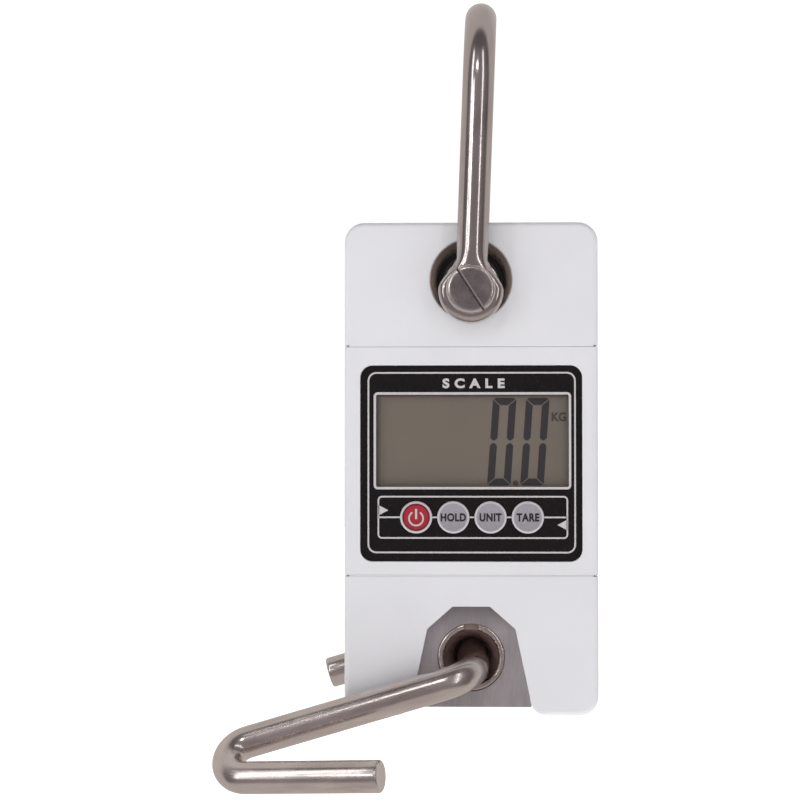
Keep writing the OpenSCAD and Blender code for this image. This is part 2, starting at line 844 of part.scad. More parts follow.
// Puts children, drawn upwards from a cell's spring, in the bay; the middle cell is the other way up
module at_cell(i) {
    translate([i * cell_pitch, cell_y, (tray_top + tray_bottom) / 2]) mirror([0, 0, i == 0 ? 1 : 0])
        translate([0, 0, -bay_l / 2]) children();
}

module batteries() {
    body_l = cell_l - nub_l;
    color([0.15, 0.35, 0.25]) on_case() for (i = [-1 : 1]) at_cell(i) translate([0, 0, spring_l]) {
        cylinder(r = cell_r, h = body_l);
        translate([0, 0, body_l - eps]) cylinder(r = nub_r, h = nub_l + eps);
    }
}

// The springs at the cells' flat ends, each a tapering stack of coils
module battery_springs() {
    first_coil = 0.93;
    wide_r = 3.4;
    taper = 0.25;
    color(silver) on_case() for (i = [-1 : 1], k = [0 : 5]) at_cell(i)
        translate([0, 0, first_coil + k * coil_pitch])
            rotate_extrude() translate([wide_r - k * taper, 0]) circle(coil_wire_r, $fn = 16);
}

module battery_plates() {
    off_wall = 0.3;
    color(silver) on_case() for (i = [-1 : 1], z = [off_wall, bay_l - off_wall]) at_cell(i)
        translate([0, 0, z]) cube([9.4, 8.5, contact_t], center = true);
}

// Two leads from the tray's sides forward to the board
module battery_wires() {
    near = tray_w / 2 + 0.5;
    far = tray_w / 2 + 1.5;
    color([0.75, 0.05, 0.05]) on_case() for (s = [-1, 1])
        wire([
            [s * near, 4, -40], [s * far, 0, -38],
            [s * far, -4, -30], [s * far, board_back + 0.4, -28]
        ], 0.5);
}

module battery_cover() {
    rib_x = 14;
    rib_y = back_y - cover_t - 0.25;
    ridge_z = cover_bottom + 3;
    color(white) on_case() difference() {
        union() {
            translate([0, 0, cover_mid]) slab(back_y - cover_t, back_y)
                round_rect(cover_w, cover_top - cover_bottom, 2.7);
            // Foam-backed ribs that hold the cells down
            for (z = [-38, -62]) block(-rib_x, rib_x, rib_y, back_y - cover_t + eps, z - 1, z + 1);
        }
        translate([0, 0, cover_screw_z]) {
            rod(1.25, 0, back_y + 1);
            rod(2.3, back_y - 1.1, back_y + 1);
        }
        // Finger ridges
        for (k = [0 : 4]) translate([0, 0, ridge_z + k * ridge_pitch])
            block(-ridge_w / 2, ridge_w / 2, back_y - 0.4, back_y + 1, 0, ridge_pitch / 2);
    }
}

module battery_cover_screw() {
    color(steel) on_case() translate([0, back_y - slide_gap, cover_screw_z])
        mirror([0, 1, 0]) screw(2.1, 1, cover_screw_r, 5);
}

module housing_screws() {
    color(steel) on_case() at_posts()
        translate([0, back_y - 0.2, 0]) mirror([0, 1, 0])
            screw(screw_head_r, screw_head_t, screw_r - 0.12, 20);
}

shackle_bow();
shackle_pin();
pin_end_screw();
pin_washers();
front_housing();
rear_housing();
display_panel();
housing_gasket();
keypad_overlay();
display_window();
lcd_frame();
lcd_glass();
lcd_backlight();
lcd_connectors();
main_board();
controller_chip();
converter_chip();
small_components();
tact_switches();
buzzer();
board_screws();
panel_screws();
power_button();
power_button_ring();
hold_button();
unit_button();
tare_button();
load_cell();
upper_sleeve();
upper_bush();
strain_gauges();
gauge_sealant();
gauge_wires();
load_cell_screws();
retaining_rings();
lower_bush();
lower_hook();
battery_tray();
batteries();
battery_springs();
battery_plates();
battery_wires();
battery_cover();
battery_cover_screw();
housing_screws();
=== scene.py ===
"""Looks of a hanging crane scale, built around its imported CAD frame.

Lengths are in millimetres where a name ends in _mm or a value is multiplied by MM, and in metres
elsewhere. The print on the case is the exception: its own section says how it is measured.
"""

import math

import bmesh
import bpy
from mathutils import Matrix, Vector


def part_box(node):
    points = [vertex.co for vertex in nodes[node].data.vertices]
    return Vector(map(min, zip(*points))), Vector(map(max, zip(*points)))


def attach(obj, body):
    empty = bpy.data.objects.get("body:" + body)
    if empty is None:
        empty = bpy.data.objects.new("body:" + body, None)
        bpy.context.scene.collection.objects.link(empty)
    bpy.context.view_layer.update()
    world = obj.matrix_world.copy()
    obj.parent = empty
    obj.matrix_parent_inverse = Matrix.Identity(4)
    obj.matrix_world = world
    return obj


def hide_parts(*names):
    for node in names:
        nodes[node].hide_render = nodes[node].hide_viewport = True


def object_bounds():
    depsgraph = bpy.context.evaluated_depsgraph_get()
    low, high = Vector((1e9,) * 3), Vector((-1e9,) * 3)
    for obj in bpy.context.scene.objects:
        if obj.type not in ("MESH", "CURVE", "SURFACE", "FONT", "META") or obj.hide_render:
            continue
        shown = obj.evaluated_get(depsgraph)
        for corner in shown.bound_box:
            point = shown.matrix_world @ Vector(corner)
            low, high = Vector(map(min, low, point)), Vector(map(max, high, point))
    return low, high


MM = 0.001

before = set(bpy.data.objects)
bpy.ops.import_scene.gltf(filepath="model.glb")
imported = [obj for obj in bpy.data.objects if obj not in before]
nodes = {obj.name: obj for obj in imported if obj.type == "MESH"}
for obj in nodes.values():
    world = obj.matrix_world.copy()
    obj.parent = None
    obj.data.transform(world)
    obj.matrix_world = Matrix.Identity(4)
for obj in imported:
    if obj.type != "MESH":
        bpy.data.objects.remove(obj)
cad_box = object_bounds()

# ---- Places that everything else is measured from ----


def middle(node):
    """The centre of a CAD node's box."""
    low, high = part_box(node)
    return (Vector(low) + Vector(high)) / 2


def size(node):
    """The lengths of a CAD node's box along X, Y and Z."""
    low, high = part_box(node)
    return Vector(high) - Vector(low)


PIN = middle("shackle_pin")
PIN.y = 0
HOLE = middle("lower_bush")
FACE_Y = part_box("front_housing")[0][1]
LEAN = math.atan2(-PIN.x, -PIN.z)
REACH = PIN.length

BAR_R = 4 * MM

# The slotted heads of the pin and its end screw: the direction across their slots, half the slots' width,
# how far from the pin's middle the slots' floors lie, and where the heads' flat faces turn into round
# edges, across which a painted highlight fades in
SLOT_TURN = LEAN + math.radians(55)
SLOT_ACROSS = (math.sin(SLOT_TURN), 0, math.cos(SLOT_TURN))
SLOT_HALF = 0.36 * MM
SLOT_FADE = 0.42 * MM
PIN_FACE = -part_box("shackle_pin")[0][1]
SLOT_FLOOR_Y = PIN_FACE - 0.5 * MM
SLOT_FLOOR_END_Y = PIN_FACE - 0.2 * MM
HEAD_FLAT_R = 4.9 * MM
HEAD_EDGE_R = 5.3 * MM


def on_face(x_mm, z_mm, y):
    """A point by its place right of and above the shackle pin, as seen on the case's face."""
    return Vector((PIN.x + x_mm * MM, y, PIN.z + z_mm * MM))


# ---- Materials ----


class Look:
    """A node material: textures made here feed the sockets of one Principled shader."""

    def __init__(self, name, **constants):
        self.material = bpy.data.materials.new(name)
        self.material.use_nodes = True
        self.tree = self.material.node_tree
        self.tree.nodes.clear()
        output = self.tree.nodes.new("ShaderNodeOutputMaterial")
        self.shader = self.tree.nodes.new("ShaderNodeBsdfPrincipled")
        self.tree.links.new(self.shader.outputs[0], output.inputs[0])
        for socket, value in constants.items():
            self.shader.inputs[socket.replace("_", " ")].default_value = value

    def feed(self, target, value):
        """Links a socket, or sets a constant, on an input."""
        if isinstance(value, bpy.types.NodeSocket):
            self.tree.links.new(value, target)
        else:
            target.default_value = value

    def node(self, kind, *inputs, **settings):
        """Adds a node, feeds its first inputs in their order, and sets its properties."""
        made = self.tree.nodes.new("ShaderNode" + kind)
        for key, value in settings.items():
            setattr(made, key, value)
        for target, value in zip(made.inputs, inputs):
            if value is not None:
                self.feed(target, value)
        return made

    def place(self, source, stretch=(1, 1, 1), centre=(0, 0, 0)):
        """Coordinates from the object or its UV map, moved to a centre and stretched."""
        coordinates = self.node("TexCoord").outputs[source]
        shifted = self.node("VectorMath", coordinates, centre, operation="SUBTRACT").outputs[0]
        return self.node("VectorMath", shifted, stretch, operation="MULTIPLY").outputs[0]

    def noise(self, stretch, source="Object", detail=3.0, centre=(0, 0, 0), distortion=0.0):
        """Noise from 0 to 1; stretch is how many grains it has per metre each way."""
        made = self.node("TexNoise", self.place(source, stretch, centre))
        made.inputs["Scale"].default_value = 1.0
        made.inputs["Detail"].default_value = detail
        made.inputs["Distortion"].default_value = distortion
        return made.outputs["Fac"]

    def rings(self, centre, per_metre):
        """Noise that only changes with the distance from an axis along Y."""
        flat = self.place("Object", (1, 0, 1), centre)
        distance = self.node("VectorMath", flat, operation="LENGTH").outputs["Value"]
        made = self.node("TexNoise", noise_dimensions="1D")
        self.feed(made.inputs["W"], distance)
        made.inputs["Scale"].default_value = per_metre
        made.inputs["Detail"].default_value = 2.0
        return made.outputs["Fac"]

    def span(self, value, low, high, start=0.3, end=0.7):
        """Maps a texture onto the range from low to high."""
        made = self.node("MapRange", value, start, end, low, high)
        return made.outputs[0]

    def add(self, a, b):
        """The sum of two textures."""
        return self.node("Math", a, b, operation="ADD").outputs[0]

    def colour(self, value, first, second):
        """A colour that goes from first to second with a texture."""
        mix = self.node("Mix", data_type="RGBA")
        self.feed(mix.inputs["Factor"], value)
        self.feed(mix.inputs["A"], (*first, 1) if isinstance(first, tuple) else first)
        self.feed(mix.inputs["B"], (*second, 1) if isinstance(second, tuple) else second)
        return mix.outputs["Result"]

    def bump(self, height, depth):
        """Relief from a texture: depth is the distance from its low places to its high ones."""
        made = self.node("Bump")
        made.inputs["Strength"].default_value = 1.0
        made.inputs["Distance"].default_value = depth
        self.feed(made.inputs["Height"], height)
        self.feed(self.shader.inputs["Normal"], made.outputs[0])

    def wear(self, colour, roughness):
        """Gives the shader its colour and roughness."""
        self.feed(self.shader.inputs["Base Color"], colour)
        self.feed(self.shader.inputs["Roughness"], roughness)


def evenly(per_metre):
    """A texture stretch that is the same in every direction."""
    return (per_metre,) * 3


def paint():
    """Satin white paint with the faint orange peel of a sprayed housing."""
    look = Look("white_paint", Specular_IOR_Level=0.45)
    cloud = look.noise(evenly(55), detail=4)
    peel = look.noise(evenly(1500), detail=2)
    look.wear(
        look.colour(look.span(cloud, 0, 1), (0.705, 0.716, 0.742), (0.735, 0.746, 0.772)),
        look.span(peel, 0.36, 0.46),
    )
    look.bump(peel, 0.012 * MM)
    return look.material


def drawn_steel(name, colour_low, colour_high, rough):
    """Stainless bar with the fine lines and stains that follow its length."""
    look = Look(name, Metallic=1.0)
    lines = look.noise((45, 5200, 1), "UV", detail=4)
    stains = look.noise((60, 160, 1), "UV", detail=4, distortion=1.0)
    look.wear(
        look.colour(look.span(stains, 0, 1), colour_low, colour_high),
        look.add(look.span(lines, 0.0, 0.10), look.span(stains, rough, rough + 0.07)),
    )
    look.bump(lines, 0.0022 * MM)
    return look.material


def slot_floor(look, tint):
    """Colours the floor of a head's slot: painted shade along one side, a painted highlight along the
    other.
    """
    flat = look.place("Object", (1, 0, 1), PIN)
    across = look.node("VectorMath", flat, SLOT_ACROSS, operation="DOT_PRODUCT").outputs["Value"]
    off_line = look.node("Math", across, operation="ABSOLUTE").outputs[0]
    in_slot = look.span(off_line, 1, 0, SLOT_HALF, SLOT_FADE)
    depth_axis = look.node("SeparateXYZ", look.place("Object")).outputs[1]
    from_middle = look.node("Math", depth_axis, operation="ABSOLUTE").outputs[0]
    below = look.span(from_middle, 1, 0, SLOT_FLOOR_Y, SLOT_FLOOR_END_Y)
    floor = look.node("Math", in_slot, below, operation="MULTIPLY").outputs[0]
    # Painted shade and highlight: the slot's floor goes from dark on one side to bright on the other.
    shade_to_highlight = look.span(across, 0, 1, -0.2 * MM, 0.25 * MM)
    painted_shade_and_highlight = look.colour(shade_to_highlight, (0.05, 0.045, 0.045), (0.85, 0.80, 0.78))
    return look.colour(floor, tint, painted_shade_and_highlight)


def turned_steel(name, centre, colour_low, colour_high, metallic=1.0, rough=0.16, slotted=False):
    """Stainless steel with the rings that a lathe leaves round an axis along Y; slotted heads get a painted
    highlight on their round edge.
    """
    look = Look(name, Metallic=metallic)
    rings = look.rings(centre, per_metre=9000)
    smear = look.noise(evenly(320), detail=4)
    tint = look.colour(look.span(smear, 0, 1), colour_low, colour_high)
    if slotted:
        # Painted highlight: a pale band on the head's round edge, where lights would glint.
        from_axis = look.node("VectorMath", look.place("Object", (1, 0, 1), centre), operation="LENGTH")
        edge = look.span(from_axis.outputs["Value"], 0, 1, HEAD_FLAT_R, HEAD_EDGE_R)
        tint = slot_floor(look, look.colour(edge, tint, (0.66, 0.62, 0.60)))
    look.wear(tint, look.add(look.span(rings, 0.0, 0.10), look.span(smear, rough, rough + 0.10)))
    look.bump(rings, 0.004 * MM)
    return look.material


def wire_steel():
    """Drawn wire with a smeared, uneven polish."""
    look = Look("wire_steel", Metallic=1.0)
    smear = look.noise(evenly(900), detail=3)
    look.wear(look.colour(smear, (0.56, 0.50, 0.47), (0.72, 0.66, 0.62)), look.span(smear, 0.14, 0.3))
    look.bump(smear, 0.01 * MM)
    return look.material


def brushed_cell():
    """Milled alloy with vertical grinding lines, with painted shade darker towards the case's edge above
    it.
    """
    look = Look("brushed_cell", Metallic=0.8)
    grain = look.noise((3600, 3600, 260), detail=5)
    cloud = look.noise((190, 190, 90), detail=4)
    shade = look.colour(look.span(grain, 0, 1), (0.42, 0.395, 0.405), (0.54, 0.510, 0.520))
    mottled = look.colour(look.span(cloud, 0, 0.5), shade, (0.62, 0.590, 0.600))
    # Painted shade: the cell gets darker towards the top of its visible part, under the case's edge.
    above_hole = look.node("SeparateXYZ", look.place("Object", centre=HOLE)).outputs[2]
    painted_shade = look.span(above_hole, 0, 0.75, 6.5 * MM, 12 * MM)
    look.wear(
        look.colour(painted_shade, mottled, (0.27, 0.25, 0.265)),
        look.add(look.span(grain, 0.28, 0.40), look.span(cloud, 0.0, 0.10)),
    )
    look.bump(grain, 0.006 * MM)
    return look.material


def film():
    """Glossy black print behind a clear film."""
    look = Look("black_film", Specular_IOR_Level=0.25)
    dust = look.noise(evenly(700), detail=5)
    look.wear(
        look.colour(look.span(dust, 0, 1), (0.0065, 0.0055, 0.0062), (0.0085, 0.0072, 0.0080)),
        look.span(dust, 0.24, 0.28),
    )
    look.bump(dust, 0.003 * MM)
    return look.material


def ink(name, first, second, rough=0.45):
    """Printed ink with a slightly uneven coat."""
    look = Look(name)
    blotch = look.noise(evenly(1800), detail=3)
    look.wear(look.colour(look.span(blotch, 0, 1), first, second), look.span(blotch, rough, rough + 0.12))
    look.bump(blotch, 0.002 * MM)
    return look.material


def display_back():
    """Warm grey reflector of an unlit display, with painted shadow along the window's left and top edges.
    """
    look = Look("display_back", Specular_IOR_Level=0.25)
    fine = look.noise(evenly(5200), detail=2)
    cloud = look.noise((34, 34, 20), detail=2)
    tint = look.colour(look.span(cloud, 0, 1), (0.160, 0.134, 0.107), (0.178, 0.150, 0.119))
    grain = look.colour(look.span(fine, 0, 1), (0.90, 0.90, 0.90), (1.0, 1.0, 1.0))
    mixed = look.node("Mix", data_type="RGBA", blend_type="MULTIPLY")
    mixed.inputs["Factor"].default_value = 1.0
    look.feed(mixed.inputs["A"], tint)
    look.feed(mixed.inputs["B"], grain)
    low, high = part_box("display_window")
    split = look.node("SeparateXYZ", look.place("Object"))
    # Painted shadow of the window's recess along its left and top edges.
    left_shade = look.span(split.outputs[0], 1, 0, low[0] + 0.7 * MM, low[0] + 1.8 * MM)
    top_shade = look.span(split.outputs[2], 1, 0, high[2] - 0.7 * MM, high[2] - 1.3 * MM)
    edge = look.node("Math", left_shade, top_shade, operation="MAXIMUM").outputs[0]
    shaded = look.colour(edge, mixed.outputs["Result"], (0.078, 0.060, 0.064))
    look.wear(shaded, look.span(fine, 0.42, 0.55))
    look.bump(fine, 0.004 * MM)
    return look.material


def clear_pane():
    """Clear film over the display: nearly all of it lets light through, and the rest mirrors."""
    look = Look("clear_pane", Metallic=1.0, Alpha=0.04)
    smudge = look.noise(evenly(180), detail=4)
    look.wear(look.colour(smudge, (0.90, 0.90, 0.89), (1.0, 1.0, 1.0)), look.span(smudge, 0.04, 0.10))
    look.bump(smudge, 0.002 * MM)
    return look.material


def plastic(name, first, second, rough, grain=2400, depth_mm=0.01):
    """Moulded plastic or rubber with a fine grain."""
    look = Look(name, Specular_IOR_Level=0.4)
    skin = look.noise(evenly(grain), detail=3)
    cloud = look.noise(evenly(120), detail=3)
    look.wear(
        look.colour(look.span(cloud, 0, 1), first, second),
        look.span(skin, rough - 0.05, rough + 0.07),
    )
    look.bump(skin, depth_mm * MM)
    return look.material


RIM_BLUR_MM = 0.12


def key_cap(node, face, rim, face_r_mm):
    """A moulded key, a little darker towards its foot, whose rim shows in another tone than its face."""
    look = Look(node + "_plastic", Specular_IOR_Level=0.4)
    skin = look.noise(evenly(3600), detail=3)
    centre = middle(node)
    from_centre = look.node("VectorMath", look.place("Object", (1, 0, 1), centre), operation="LENGTH")
    face_end, rim_start = (face_r_mm - RIM_BLUR_MM) * MM, (face_r_mm + RIM_BLUR_MM) * MM
    edge = look.span(from_centre.outputs["Value"], 0, 1, face_end, rim_start)
    height = look.node("SeparateXYZ", look.place("Object", centre=centre)).outputs[2]
    shade = look.span(height, 0.86, 1.0, -2.5 * MM, 1.5 * MM)
    toned = look.node("VectorMath", face, operation="SCALE")
    look.feed(toned.inputs["Scale"], shade)
    speckled = look.node("Mix", data_type="RGBA")
    look.feed(speckled.inputs["Factor"], look.span(skin, 0, 0.2))
    look.feed(speckled.inputs["A"], toned.outputs[0])
    look.feed(speckled.inputs["B"], (*rim, 1))
    look.wear(look.colour(edge, speckled.outputs["Result"], rim), look.span(skin, 0.32, 0.42))
    look.bump(skin, 0.004 * MM)
    return look.material


def plated(name, first, second, rough, grain=800, metallic=1.0):
    """Bright metal plating, or bare metal under a dull skin where metallic is less than 1."""
    look = Look(name, Metallic=metallic)
    skin = look.noise(evenly(grain), detail=3)
    look.wear(look.colour(look.span(skin, 0, 1), first, second), look.span(skin, rough, rough + 0.12))
    look.bump(skin, 0.004 * MM)
    return look.material


def board_mask():
    """Green solder mask over copper tracks."""
    look = Look("solder_mask", Specular_IOR_Level=0.5)
    squares = look.place("Object", evenly(420))
    cells = look.node("TexVoronoi", squares, distance="CHEBYCHEV", feature="DISTANCE_TO_EDGE")
    tracks = look.span(cells.outputs["Distance"], 0, 1, 0.03, 0.06)
    look.wear(
        look.colour(tracks, (0.03, 0.20, 0.07), (0.012, 0.105, 0.04)),
        look.span(tracks, 0.3, 0.4, 0, 1),
    )
    look.bump(tracks, 0.03 * MM)
    return look.material


BAND_HEIGHT_MM = 30
BAND_BLUR_MM = 0.2


def cell_jacket():
    """Printed battery jacket: two plain bands of colour."""
    look = Look("cell_jacket", Coat_Weight=0.3)
    height = look.node("SeparateXYZ", look.place("Object")).outputs[2]
    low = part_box("batteries")[0]
    band_end, band_start = (BAND_HEIGHT_MM - BAND_BLUR_MM) * MM, (BAND_HEIGHT_MM + BAND_BLUR_MM) * MM
    band = look.span(height, 0, 1, low[2] + band_end, low[2] + band_start)
    fine = look.noise(evenly(900), detail=2)
    shade = look.colour(fine, (0.010, 0.05, 0.028), (0.016, 0.07, 0.04))
    look.wear(look.colour(band, shade, (0.62, 0.36, 0.08)), look.span(fine, 0.22, 0.34))
    look.bump(fine, 0.003 * MM)
    return look.material


POLISHED_BAR = drawn_steel("polished_bar", (0.48, 0.43, 0.415), (0.58, 0.53, 0.515), 0.10)
SATIN_BAR = drawn_steel("satin_bar", (0.56, 0.500, 0.470), (0.70, 0.640, 0.610), 0.15)
HEAD_STEEL = turned_steel("turned_head", PIN, (0.31, 0.285, 0.280), (0.42, 0.39, 0.38), slotted=True)
SLEEVE_STEEL = turned_steel(
    "turned_sleeve", middle("upper_sleeve"), (0.44, 0.345, 0.315), (0.62, 0.51, 0.475),
    metallic=0.7, rough=0.28,
)
WHITE = paint()
INK_LIGHT = ink("light_ink", (0.50, 0.48, 0.49), (0.58, 0.56, 0.57))
INK_DARK = ink("dark_ink", (0.008, 0.008, 0.010), (0.014, 0.014, 0.016))
SEGMENT = ink("display_segment", (0.006, 0.007, 0.009), (0.010, 0.011, 0.013), rough=0.6)
LEGEND = ink("display_legend", (0.030, 0.023, 0.018), (0.040, 0.031, 0.025), rough=0.6)
# Painted shade: a dark brown for the band that darkens the hook's hole.
THROAT_SHADE = plastic(
    "throat_shade", (0.060, 0.036, 0.031), (0.095, 0.060, 0.052), 0.45,
    grain=900, depth_mm=0.05,
)
BLACK_NYLON = plastic("black_nylon", (0.012, 0.012, 0.013), (0.02, 0.02, 0.021), 0.5)
RUBBER = plastic(
    "black_rubber", (0.014, 0.014, 0.014), (0.022, 0.022, 0.022), 0.7,
    grain=1200, depth_mm=0.03,
)
CHIP = plastic("chip_resin", (0.012, 0.012, 0.013), (0.022, 0.022, 0.023), 0.55, grain=5000)
DIFFUSER = plastic("light_diffuser", (0.74, 0.76, 0.70), (0.80, 0.82, 0.76), 0.5)
SEALANT = plastic("sealant", (0.62, 0.61, 0.55), (0.72, 0.71, 0.66), 0.45, grain=350, depth_mm=0.2)
RED_WIRE = plastic("red_wire", (0.42, 0.02, 0.02), (0.5, 0.03, 0.03), 0.4)
FOIL = plated("gauge_foil", (0.55, 0.34, 0.11), (0.66, 0.43, 0.16), 0.3)
PLATING = plated("bright_plating", (0.58, 0.57, 0.56), (0.70, 0.69, 0.68), 0.16)
BUSH_METAL = plated(
    "bush_bronze", (0.30, 0.205, 0.185), (0.42, 0.300, 0.275), 0.40,
    grain=500, metallic=0.35,
)
POWER_RED = key_cap("power_button", (0.38, 0.016, 0.030), (0.27, 0.010, 0.020), face_r_mm=3.0)

CAD_MATERIALS = {
    HEAD_STEEL: ["shackle_pin", "pin_end_screw"],
    SLEEVE_STEEL: ["upper_sleeve"],
    WHITE: ["front_housing", "rear_housing", "display_panel", "battery_cover"],
    BLACK_NYLON: ["pin_washers", "upper_bush", "lcd_frame", "battery_tray"],
    RUBBER: ["housing_gasket", "lcd_connectors"],
    film(): ["keypad_overlay"],
    clear_pane(): ["display_window"],
    display_back(): ["lcd_glass"],
    DIFFUSER: ["lcd_backlight"],
    board_mask(): ["main_board"],
    CHIP: ["controller_chip", "converter_chip", "tact_switches", "buzzer"],
    FOIL: ["strain_gauges", "small_components"],
    PLATING: [
        "board_screws", "panel_screws", "load_cell_screws", "battery_springs", "battery_plates",
        "battery_cover_screw", "housing_screws",
    ],
    POWER_RED: ["power_button"],
    brushed_cell(): ["load_cell"],
    wire_steel(): ["retaining_rings"],
    BUSH_METAL: ["lower_bush"],
    SEALANT: ["gauge_sealant"],
    RED_WIRE: ["gauge_wires", "battery_wires"],
    cell_jacket(): ["batteries"],
}

for name in ("power_button_ring", "hold_button", "unit_button", "tare_button"):
    CAD_MATERIALS[key_cap(name, (0.285, 0.275, 0.310), (0.60, 0.575, 0.60), face_r_mm=3.58)] = [name]

for material, names in CAD_MATERIALS.items():
    for name in names:
        for slot in nodes[name].material_slots:
            slot.material = material

# ---- Softer edges on the CAD parts, by modifiers only ----

WELD_GAP = 0.001 * MM
FLAT_ANGLE = math.radians(0.4)
SMOOTH_ANGLE = math.radians(32)
BEVEL_ANGLE = math.radians(35)


def smoothing_nodes():
    """A node group that shades smoothly wherever two faces meet at a small angle."""
    group = bpy.data.node_groups.new("smooth_by_angle", "GeometryNodeTree")
    group.interface.new_socket("Geometry", in_out="INPUT", socket_type="NodeSocketGeometry")
    group.interface.new_socket("Geometry", in_out="OUTPUT", socket_type="NodeSocketGeometry")
    entry = group.nodes.new("NodeGroupInput")
    leave = group.nodes.new("NodeGroupOutput")
    faces = group.nodes.new("GeometryNodeSetShadeSmooth")
    edges = group.nodes.new("GeometryNodeSetShadeSmooth")
    edges.domain = "EDGE"
    angle = group.nodes.new("GeometryNodeInputMeshEdgeAngle")
    small = group.nodes.new("FunctionNodeCompare")
    small.operation = "LESS_THAN"
    small.inputs[1].default_value = SMOOTH_ANGLE
    group.links.new(entry.outputs[0], faces.inputs["Geometry"])
    group.links.new(faces.outputs[0], edges.inputs["Geometry"])
    group.links.new(angle.outputs["Unsigned Angle"], small.inputs[0])
    group.links.new(small.outputs[0], edges.inputs["Shade Smooth"])
    group.links.new(edges.outputs[0], leave.inputs[0])
    return group


SMOOTHING = smoothing_nodes()


def soften(thing, width_mm):
    """Rounds a piece's sharp edges and shades it smoothly."""
    if "custom_normal" in thing.data.attributes:
        thing.data.attributes.remove(thing.data.attributes["custom_normal"])
    weld = thing.modifiers.new("weld", "WELD")
    weld.merge_threshold = WELD_GAP
    flat = thing.modifiers.new("flat", "DECIMATE")
    flat.decimate_type = "DISSOLVE"
    flat.angle_limit = FLAT_ANGLE
    if width_mm:
        bevel = thing.modifiers.new("bevel", "BEVEL")
        bevel.width = width_mm * MM
        bevel.segments = 3
        bevel.limit_method = "ANGLE"
        bevel.angle_limit = BEVEL_ANGLE
    shade = thing.modifiers.new("shade", "NODES")
    shade.node_group = SMOOTHING
    even = thing.modifiers.new("even", "WEIGHTED_NORMAL")
    even.keep_sharp = True


EDGE_MM = {
    "shackle_pin": 0.08, "pin_end_screw": 0.08, "pin_washers": 0.15, "upper_bush": 0.15, "load_cell": 0.25,
    "front_housing": 0.14, "display_panel": 0.14, "rear_housing": 0.25, "keypad_overlay": 0.06,
    "power_button": 0.1, "power_button_ring": 0.1,
    "hold_button": 0.12, "unit_button": 0.12, "tare_button": 0.12,
    "battery_cover": 0.15, "battery_cover_screw": 0.1, "battery_tray": 0.15, "batteries": 0.2,
    "housing_screws": 0.1,
}
for name, thing in nodes.items():
    soften(thing, EDGE_MM.get(name, 0))

# ---- Mesh helpers ----


def add_piece(name, mesh, material, body):
    """Puts a new piece into the scene, riding on a CAD body."""
    thing = bpy.data.objects.new(name, mesh)
    bpy.context.scene.collection.objects.link(thing)
    mesh.materials.append(material)
    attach(thing, body)
    return thing


def loft(name, rings, spacing, girth):
    """A closed skin through rings of points. Its UV map holds metres along and round the form."""
    mesh = bpy.data.meshes.new(name)
    build = bmesh.new()
    uv = build.loops.layers.uv.new("UVMap")
    rows = [[build.verts.new(p) for p in ring] for ring in rings]
    count = len(rows[0])
    for i in range(len(rows) - 1):
        for k in range(count):
            n = (k + 1) % count
            face = build.faces.new((rows[i][k], rows[i][n], rows[i + 1][n], rows[i + 1][k]))
            face.smooth = True
            corners = ((i, k), (i, k + 1), (i + 1, k + 1), (i + 1, k))
            for loop, (row, column) in zip(face.loops, corners):
                loop[uv].uv = (spacing[row], girth * column / count)
    for row, far in ((rows[0], False), (rows[-1], True)):
        cap = build.faces.new(row if far else row[::-1])
        for loop in cap.loops:
            loop[uv].uv = (loop.vert.co.x, loop.vert.co.y)
    bmesh.ops.recalc_face_normals(build, faces=build.faces)
    build.to_mesh(mesh)
    build.free()
    return mesh


def smoothstep(low, high, value):
    """Turns smoothly from 0 at low to 1 at high."""
    t = min(max((value - low) / (high - low), 0), 1)
    return t * t * (3 - 2 * t)


# ---- Shackle bow: round bar whose ends are forged into flat eyes ----

# The eye: its radius, half its thickness, the rounding of its edge, and the straight flanks that run from
# its shoulders into the bar
LEG_Y = 19.6 * MM
EYE_R = 8.2 * MM
EYE_HALF = 3.7 * MM
EYE_EDGE = 1.9 * MM
EYE_SHOULDER = 9 * MM
EYE_TAPER = 5 / 7
EYE_EASE = 1.2 * MM
NECK_EASE = 1.6 * MM
NECK_LOW = 3.0 * MM
NECK_HIGH = 10.5 * MM

# How finely the bow's skin is divided: points across half a section, and rows along each stretch
BOW_COLUMNS = 32
EYE_ROW_ANGLES = (2.5, 6, 10, 15, 21, 28, 36, 45, 54, 63, 72, 81, 90)
NECK_ROWS = 26
SHAFT_ROWS = 12
ARCH_ROWS = 56


def eased_min(a, b, ease):
    """The smaller of two lengths, turning smoothly from one to the other."""
    gap = max(ease - abs(a - b), 0)
    return min(a, b) - gap**2 / (4 * ease)


def eye_width(z):
    """Half the eye's width at a height above the pin's axis."""
    disc = math.sqrt(max(EYE_R**2 - z**2, 0))
    if z <= 0:
        return disc
    taper = EYE_SHOULDER - EYE_TAPER * z
    return -eased_min(-eased_min(disc, taper, EYE_EASE), -BAR_R, NECK_EASE)


def eye_inset(x, z):
    """How far a point of the eye's face lies inside its outline."""
    inset = 0
    if z < EYE_R:
        slope = math.cos(math.atan(EYE_TAPER))
        from_flank = (EYE_SHOULDER - EYE_TAPER * z - abs(x)) * slope
        inset = min(EYE_R - math.hypot(x, z), from_flank)
    if z > 0:
        inset = max(inset, eye_width(z) - abs(x))
    return max(inset, 0)


def eye_depth(x, z):
    """Half the eye's thickness at a point of its face: flat with a round edge, turning into the bar."""
    bar = math.sqrt(max(BAR_R**2 - x**2, 0))
    blend = smoothstep(NECK_LOW, NECK_HIGH, z)
    inset = eye_inset(x, z)
    plate = EYE_HALF - EYE_EDGE + math.sqrt(EYE_EDGE**2 - max(EYE_EDGE - inset, 0) ** 2)
    return plate + (bar - plate) * blend


